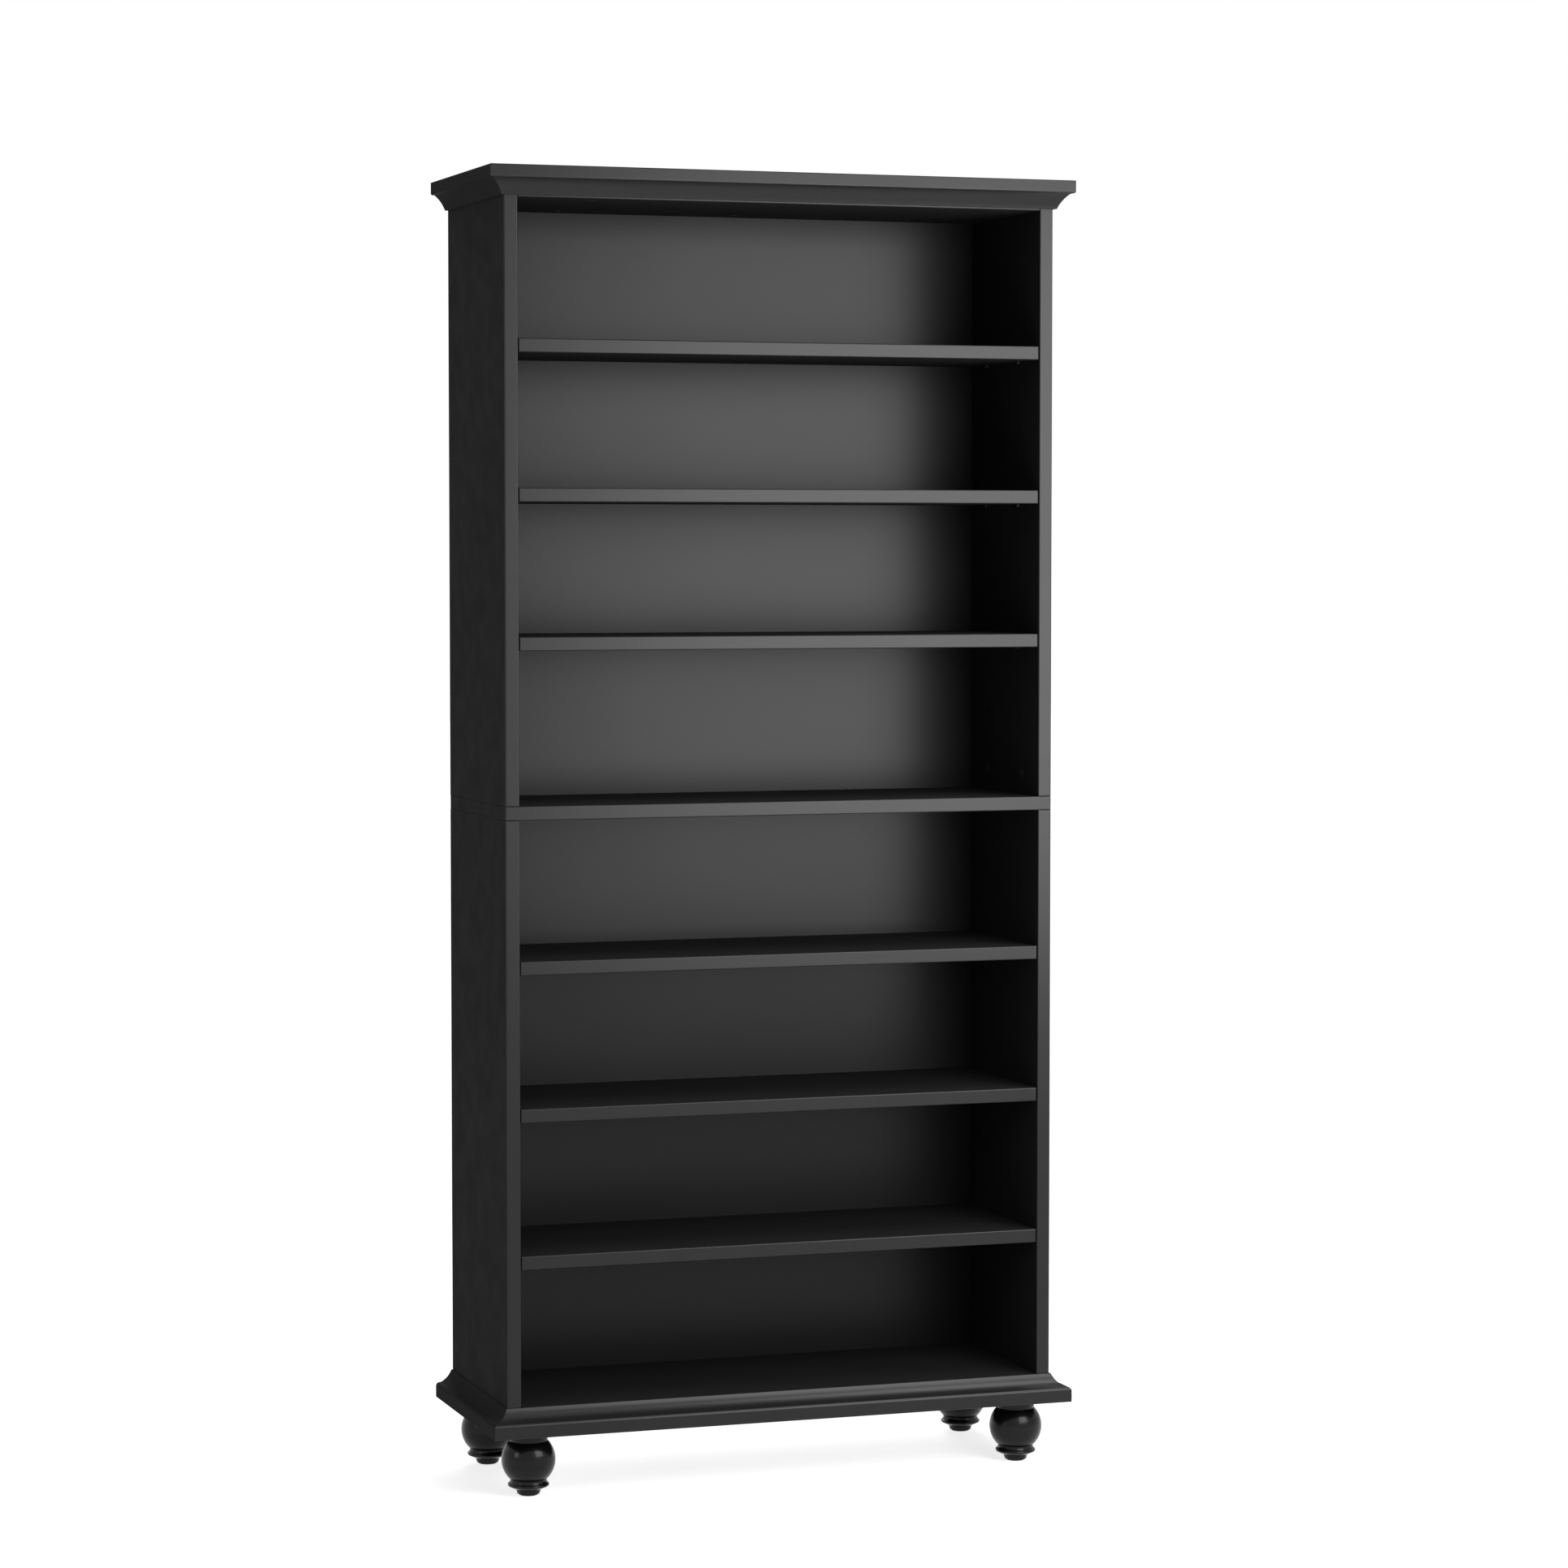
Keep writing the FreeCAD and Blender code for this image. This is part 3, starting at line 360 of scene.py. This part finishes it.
# The heads of the deck's screws lie in the top panel's underside. They are taken to be
# black-passivated, because none shows in the photograph.
black_zinc, tree, shader, place = new_finish("black_passivated_steel", "#2c2c2e", 0.42, Metallic=1.0)
skin = add(tree, "ShaderNodeTexNoise", {
    "Vector": place.outputs["Object"], "Scale": every(2), "Detail": 3.0})
tint = add(tree, "ShaderNodeMix", {
    "Factor": skin.outputs["Fac"], "A": linear("#262628"), "B": linear("#343436")},
    data_type="RGBA")
tree.links.new(tint.outputs["Result"], shader.inputs["Base Color"])

# Countersunk wood screws, their heads downwards, with a tapered tip
screw_length, head_radius, neck_radius = 36.0, 4.0, 1.6
screw_crest, screw_root, screw_pitch = 2.0, 1.35, 1.8
for node, plating, slot in (("base_screws", zinc, "zinc_steel"),
                            ("deck_screws", black_zinc, "black_steel")):
    screw = turned([(0, 0), (head_radius - 0.1, 0), (head_radius, 0.25), (2.2, 2.5),
                    (neck_radius, 3.0)]
                   + threaded(3.4, screw_length - 5.0, screw_crest, screw_root, screw_pitch)
                   + [(1.3, screw_length - 4.0), (0, screw_length)], steps=20)
    screw = cross_recess(screw, width=1.1, depth=1.9, reach=2.3)
    fit(f"{node}_with_cross_heads",
        set_out(screw, [upright(*box) for box in solids(node)]), plating, slot, node)

# Screws with a coarse thread, a plain shank as thick as its crest, and a cylinder head
thick_length, thread_end, shank_radius, thick_head = 50.0, 36.0, 3.5, 5.0
thick_root, thick_pitch, socket_radius = 2.4, 3.0, 2.0
screw = turned([(0, 0), (1.6, 0.6)]
               + threaded(1.2, thread_end, shank_radius, thick_root, thick_pitch)
               + [(2.5, thread_end + 1.0), (shank_radius, thread_end + 2.0),
                  (shank_radius, thick_length - 4.4), (thick_head - 0.1, thick_length - 3.6),
                  (thick_head, thick_length - 3.2), (thick_head, thick_length - 0.2),
                  (thick_head - 0.3, thick_length), (socket_radius, thick_length),
                  (socket_radius, thick_length - 2.8), (0, thick_length - 3.4)], steps=20)
fit("mid_board_thick_screws",
    set_out(screw, [upright(*box) for box in solids("mid_board_screws")]), zinc, "zinc_steel",
    "mid_board_screws")

# Each nut is a barrel, threaded inside, whose round flange rests on the step in its hole
nut_height, bore_radius, barrel_radius, flange_radius = 22.0, 4.0, 5.0, 11.0
flange_under = nut_height - 1.6
thread_depth, half_pitch, half_turns = 0.25, 0.8, 25
nut = turned([(bore_radius, 0.3), (bore_radius + 0.5, 0.0), (barrel_radius, 0.4),
              (barrel_radius, flange_under - 0.2), (barrel_radius + 0.2, flange_under),
              (flange_radius - 0.4, flange_under), (flange_radius, flange_under + 0.4),
              (flange_radius, nut_height - 0.3), (flange_radius - 0.3, nut_height),
              (bore_radius + 0.6, nut_height), (bore_radius, nut_height - 0.6)]
             + [(bore_radius + thread_depth * (turn % 2), nut_height - 1.0 - turn * half_pitch)
                for turn in range(half_turns)]
             + [(bore_radius, 0.3)], steps=28)
fit("foot_barrel_nuts", set_out(nut, [upright(*box) for box in solids("foot_nuts")]), zinc,
    "zinc_steel", "foot_nuts")


# Dowels at the ends of the boards. Beech rod, 8 mm thick and sawn 30 mm long, with chamfered
# ends and pressed flutes that let the glue out. Each is glued 10 mm deep into the face of one
# board and 20 mm deep into the end of the next.
beech, tree, shader, place = new_finish("bare_beech", "#c79a6b", 0.62, IOR=1.5)
figure = add(tree, "ShaderNodeTexNoise", {
    "Vector": place.outputs["Object"], "Scale": every(5), "Detail": 5.0})
tint = add(tree, "ShaderNodeMix", {
    "Factor": figure.outputs["Fac"], "A": linear("#b98a5b"), "B": linear("#d3aa7d")},
    data_type="RGBA")
pores = add(tree, "ShaderNodeTexNoise", {
    "Vector": place.outputs["Object"], "Scale": every(0.7), "Detail": 2.0})
relief = add(tree, "ShaderNodeBump", {
    "Height": pores.outputs["Fac"], "Strength": 1.0, "Distance": 0.00004})
tree.links.new(tint.outputs["Result"], shader.inputs["Base Color"])
tree.links.new(relief.outputs["Normal"], shader.inputs["Normal"])


def lengthways(low, high, flip=False):
    """Lays a fitting made upwards from the origin along the longest side of a solid's box."""
    size = high - low
    run = max(range(3), key=lambda i: size[i])
    middle = (low + high) / 2
    start = middle.copy()
    start[run] = high[run] if flip else low[run]
    axis = Vector([0, 0, 0])
    axis[run] = -1 if flip else 1
    turn = Vector((0, 0, 1)).rotation_difference(axis)
    return Matrix.Translation(start) @ turn.to_matrix().to_4x4()


def fluted_dowel(radius=4.0, length=30.0, chamfer=1.0, edges=32, flute_share=0.94):
    """A dowel whose every second edge is pressed inwards, but for its end faces."""
    dowel = turned([(0, 0), (radius - 0.8, 0), (radius, chamfer), (radius, length - chamfer),
                    (radius - 0.8, length), (0, length)], steps=edges)
    for vert in dowel.verts:
        around = round(math.atan2(vert.co.y, vert.co.x) / (math.tau / edges))
        if around % 2 and chamfer / 2 < vert.co.z * mm_per_m < length - chamfer / 2:
            vert.co.x *= flute_share
            vert.co.y *= flute_share
    return dowel


for case in ("lower", "upper"):
    fit(f"{case}_fluted_dowels",
        set_out(fluted_dowel(), [lengthways(*box) for box in solids(f"{case}_dowels")]), beech,
        "beech", f"{case}_dowels", sharp=15)


# Cam fittings. Turned steel bolts with a neck and a ball end, and die-cast zinc drums with
# a slot in their faces, which draw the bolts in. Black plastic caps close the four drums
# that open into the upper case's lowest space. Their place and form are a guess.
cast_zinc, tree, shader, place = new_finish("die_cast_zinc", "#8f9193", 0.48, Metallic=1.0)
skin = add(tree, "ShaderNodeTexNoise", {
    "Vector": place.outputs["Object"], "Scale": every(1.5), "Detail": 3.0})
sheen = add(tree, "ShaderNodeMapRange", {
    "Value": skin.outputs["Fac"], **noise_range, "To Min": 0.42, "To Max": 0.56})
relief = add(tree, "ShaderNodeBump", {
    "Height": skin.outputs["Fac"], "Strength": 1.0, "Distance": 0.00003})
tree.links.new(sheen.outputs["Result"], shader.inputs["Roughness"])
tree.links.new(relief.outputs["Normal"], shader.inputs["Normal"])
dress(cast_zinc, "cam_drums")

cam_bolt_length, collar_radius, rod_radius, throat_radius = 43.5, 3.0, 2.4, 1.6
cam_bolt = turned([(0, 0), (1.6, 0)] + threaded(0.2, 9.6, collar_radius, 2.1, 1.4)
                  + [(collar_radius, 10.0), (collar_radius, 11.2), (rod_radius, 11.6),
                     (rod_radius, cam_bolt_length - 7.5), (throat_radius, cam_bolt_length - 6.9),
                     (throat_radius, cam_bolt_length - 4.1), (2.6, cam_bolt_length - 3.5),
                     (3.0, cam_bolt_length - 2.1), (2.6, cam_bolt_length - 0.7),
                     (1.4, cam_bolt_length), (0, cam_bolt_length)], steps=20)
half_bolt = cam_bolt_length / 2 / mm_per_m
# A bolt that lies across the case has its ball end towards the middle
fit("cam_bolts_with_ball_ends", set_out(cam_bolt, [
    lengthways(low, high, flip=low.x > 0 and high.x - low.x > half_bolt)
    for low, high in solids("cam_bolts")]), zinc, "zinc_steel", "cam_bolts")

black_plastic, tree, shader, place = new_finish("black_moulded_plastic", "#141415", 0.55, IOR=1.4)
grain = add(tree, "ShaderNodeTexNoise", {
    "Vector": place.outputs["Object"], "Scale": every(0.5), "Detail": 2.0})
relief = add(tree, "ShaderNodeBump", {
    "Height": grain.outputs["Fac"], "Strength": 1.0, "Distance": 0.00001})
tree.links.new(relief.outputs["Normal"], shader.inputs["Normal"])
cap_places = []
for low, high in solids("cam_drums"):
    middle = (low + high) / 2
    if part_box("mid_board")[1].z < middle.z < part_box("upper_shelf_1")[0].z:
        inward = -1 if middle.x > 0 else 1
        face = low.x if middle.x > 0 else high.x
        quarter = Matrix.Rotation(math.radians(90 * inward), 4, "Y")
        cap_places.append(Matrix.Translation((face, middle.y, middle.z)) @ quarter)
cap_radius, cap_height, cap_gap = 8.6, 1.3, 0.05
cap = turned([(0, cap_gap), (cap_radius - 0.2, cap_gap), (cap_radius, 0.35),
              (cap_radius - 0.4, 0.9), (cap_radius - 1.8, 1.15), (0, cap_height)])
fit("cam_cover_caps", set_out(cap, cap_places), black_plastic, "nylon")


# Shelf pins. Steel pegs, each with a flat paddle pressed on it that the shelf lies on,
# taken to be black-passivated, because none shows in the dark case.
paddle_thickness = 3.0


def shelf_pin(radius=2.5, length=19.0, paddle_width=10.0, paddle_length=9.0, round_off=0.6):
    """A peg along Z from its far end in the side, with its paddle on the X side, sizes in mm."""
    pin = turned([(0, 0), (radius - 0.5, 0), (radius, 0.6), (radius, length - 0.4),
                  (radius - 0.4, length), (0, length)], steps=20)
    plate = bmesh.new()
    bmesh.ops.create_cube(plate, size=1.0, matrix=(
        Matrix.Scale(1 / mm_per_m, 4)
        @ Matrix.Translation((paddle_thickness / 2, 0, length - paddle_length / 2))
        @ Matrix.Diagonal((paddle_thickness, paddle_width, paddle_length, 1))))
    rims = [edge for edge in plate.edges
            if abs(edge.verts[0].co.z - edge.verts[1].co.z) < merge_distance]
    bmesh.ops.bevel(plate, geom=rims, offset=round_off / mm_per_m, offset_type="OFFSET",
                    affect="EDGES", segments=3, profile=0.5, material=-1)
    mesh = bpy.data.meshes.new("plate")
    plate.to_mesh(mesh)
    plate.free()
    pin.from_mesh(mesh)
    bpy.data.meshes.remove(mesh)
    return pin


for case in ("lower", "upper"):
    places = []
    for low, high in solids(f"{case}_shelf_pins"):
        on_right = low.x > 0
        start = Vector((high.x if on_right else low.x, (low.y + high.y) / 2,
                        high.z - paddle_thickness / mm_per_m))
        inward = Vector((-1 if on_right else 1, 0, 0))
        up = Vector((0, 0, 1))
        turn = Matrix((up, inward.cross(up), inward)).transposed()
        places.append(Matrix.Translation(start) @ turn.to_4x4())
    fit(f"{case}_pins_with_paddles", set_out(shelf_pin(), places), black_zinc, "black_steel",
        f"{case}_shelf_pins")


# Back panels. Hardboard sheets, faced with black foil on the side that shows and raw brown
# fibre behind, slid into the grooves of the sides. They ripple slightly between the rails.
back_sheet, tree, shader, place = new_finish("black_faced_hardboard", "#171718", 0.3, IOR=1.28)
facing = add(tree, "ShaderNodeSeparateXYZ", {"Vector": place.outputs["Normal"]})
raw_side = add(tree, "ShaderNodeMapRange", {
    "Value": facing.outputs["Y"], "From Min": 0.4, "From Max": 0.6})
fibre = add(tree, "ShaderNodeTexNoise", {
    "Vector": place.outputs["Object"], "Scale": every(1.5), "Detail": 6.0})
brown = add(tree, "ShaderNodeMix", {
    "Factor": fibre.outputs["Fac"], "A": linear("#4a3626"), "B": linear("#6d543b")},
    data_type="RGBA")
foil = add(tree, "ShaderNodeMix", {
    "Factor": fibre.outputs["Fac"], "A": linear("#151516"), "B": linear("#19191a")},
    data_type="RGBA")
faced = add(tree, "ShaderNodeMix", {
    "Factor": raw_side.outputs["Result"], "A": foil.outputs["Result"],
    "B": brown.outputs["Result"]}, data_type="RGBA")
gloss = add(tree, "ShaderNodeMapRange", {
    "Value": raw_side.outputs["Result"], "To Min": 0.31, "To Max": 0.85})
ripple = add(tree, "ShaderNodeTexNoise", {
    "Vector": place.outputs["Object"], "Scale": every(260), "Detail": 0.0})
waves = add(tree, "ShaderNodeBump", {
    "Height": ripple.outputs["Fac"], "Strength": 1.0, "Distance": 0.0016})
grain = add(tree, "ShaderNodeBump", {
    "Height": fibre.outputs["Fac"], "Normal": waves.outputs["Normal"], "Strength": 1.0,
    "Distance": 0.00002})
tree.links.new(faced.outputs["Result"], shader.inputs["Base Color"])
tree.links.new(gloss.outputs["Result"], shader.inputs["Roughness"])
tree.links.new(grain.outputs["Normal"], shader.inputs["Normal"])
dress(back_sheet, "lower_back_panel", "upper_back_panel")


# Rails behind the back panels. Spruce, planed, stained black and left unlacquered, so the
# grain shows along their length as darker and paler streaks.
stained_spruce, tree, shader, place = new_finish("black_stained_spruce", "#2b2826", 0.6, IOR=1.5)
along = add(tree, "ShaderNodeMapping", {
    "Vector": place.outputs["Object"], "Scale": (0.04, 1.0, 1.0)})
rings = add(tree, "ShaderNodeTexNoise", {
    "Vector": along.outputs["Vector"], "Scale": every(3.0), "Detail": 4.0, "Distortion": 0.3})
tint = add(tree, "ShaderNodeMix", {
    "Factor": rings.outputs["Fac"], "A": linear("#1c1a19"), "B": linear("#3d3834")},
    data_type="RGBA")
relief = add(tree, "ShaderNodeBump", {
    "Height": rings.outputs["Fac"], "Strength": 1.0, "Distance": 0.00008})
tree.links.new(tint.outputs["Result"], shader.inputs["Base Color"])
tree.links.new(relief.outputs["Normal"], shader.inputs["Normal"])
dress(stained_spruce, "lower_bottom_rail", "lower_top_rail", "upper_bottom_rail", "upper_top_rail")


# Floor and background: a white paper floor that keeps the bookcase's shadow, and the white
# room beyond it, which the camera and reflections see at full strength.
floor_reach = 30.0
ground = bmesh.new()
bmesh.ops.create_grid(ground, x_segments=1, y_segments=1, size=floor_reach)
floor_mesh = bpy.data.meshes.new("floor")
ground.to_mesh(floor_mesh)
ground.free()
floor = bpy.data.objects.new("floor", floor_mesh)
bpy.context.scene.collection.objects.link(floor)
paper, tree, shader, place = new_finish("white_paper_floor", "#d4d4d4", 0.9)
shader.inputs["Emission Color"].default_value = linear("#ffffff")


def background_rays(tree):
    """1 for a ray of the camera, of a reflection or through glass, and 0 for the rest."""
    path = add(tree, "ShaderNodeLightPath", {}).outputs
    seen = add(tree, "ShaderNodeMath", {
        0: path["Is Camera Ray"], 1: path["Is Glossy Ray"]}, operation="MAXIMUM")
    return add(tree, "ShaderNodeMath", {
        0: seen.outputs[0], 1: path["Is Transmission Ray"]}, operation="MAXIMUM").outputs[0]


# The floor glows a little less near the bookcase, so that the shadow there shows
far = add(tree, "ShaderNodeVectorMath", {0: place.outputs["Object"]}, operation="LENGTH")
white = add(tree, "ShaderNodeMapRange", {
    "Value": far.outputs["Value"], "From Min": 1.2, "From Max": 5.0, "To Min": 0.78, "To Max": 1.0})
glow = add(tree, "ShaderNodeMath", {
    0: background_rays(tree), 1: white.outputs["Result"]}, operation="MULTIPLY")
tree.links.new(glow.outputs[0], shader.inputs["Emission Strength"])
dress(paper, floor)

room = bpy.data.worlds.new("white_room")
bpy.context.scene.world = room
room.use_nodes = True
tree = room.node_tree
light_on_object = 0.12
level = add(tree, "ShaderNodeMapRange", {
    "Value": background_rays(tree), "To Min": light_on_object, "To Max": 1.0})
air = tree.nodes["Background"]
air.inputs["Color"].default_value = linear("#ffffff")
tree.links.new(level.outputs["Result"], air.inputs["Strength"])


# Lamps: a large softbox in front on the right, a small one far left, one overhead, and one
# behind for the rear side alone. Together they light a plain grey to about what it is.
def softbox(name, place, aim, width, height, watts):
    """A rectangular lamp that stands at its place and looks at its aim, all in metres."""
    lamp = bpy.data.lights.new(name, "AREA")
    lamp.shape = "RECTANGLE"
    lamp.size, lamp.size_y = width, height
    lamp.energy = watts
    stand = bpy.data.objects.new(name, lamp)
    stand.location = place
    stand.rotation_euler = (Vector(aim) - Vector(place)).to_track_quat("-Z", "Y").to_euler()
    bpy.context.scene.collection.objects.link(stand)


softbox("key_softbox", place=(0.92, -1.98, 1.52), aim=(0.0, 0.0, 1.32),
        width=1.35, height=1.65, watts=52.0)
softbox("left_softbox", place=(-2.55, -0.87, 0.95), aim=(0.0, 0.0, 0.9),
        width=0.5, height=0.6, watts=6.5)
softbox("top_softbox", place=(1.45, -0.97, 2.90), aim=(0.2, -0.2, 0.1),
        width=1.2, height=0.9, watts=26.0)
softbox("rear_softbox", place=(0.45, 2.30, 1.60), aim=(0.0, 0.17, 1.05),
        width=1.2, height=1.6, watts=34.0)


# Camera: where the photograph was taken from, about 7 m away and 1.5 m up, in metres, with a
# long lens. Its place and direction come from a fit to the edges of the boards.
lens = bpy.data.cameras.new("camera")
lens.lens = 99.46
lens.sensor_width = 36.0
camera = bpy.data.objects.new("camera", lens)
camera.location = (-2.2111, -6.6618, 1.4870)
camera.rotation_euler = Vector((0.3214, 0.9454, -0.0536)).to_track_quat("-Z", "Y").to_euler()
bpy.context.scene.collection.objects.link(camera)
bpy.context.scene.camera = camera
bpy.context.scene.view_settings.view_transform = "Standard"
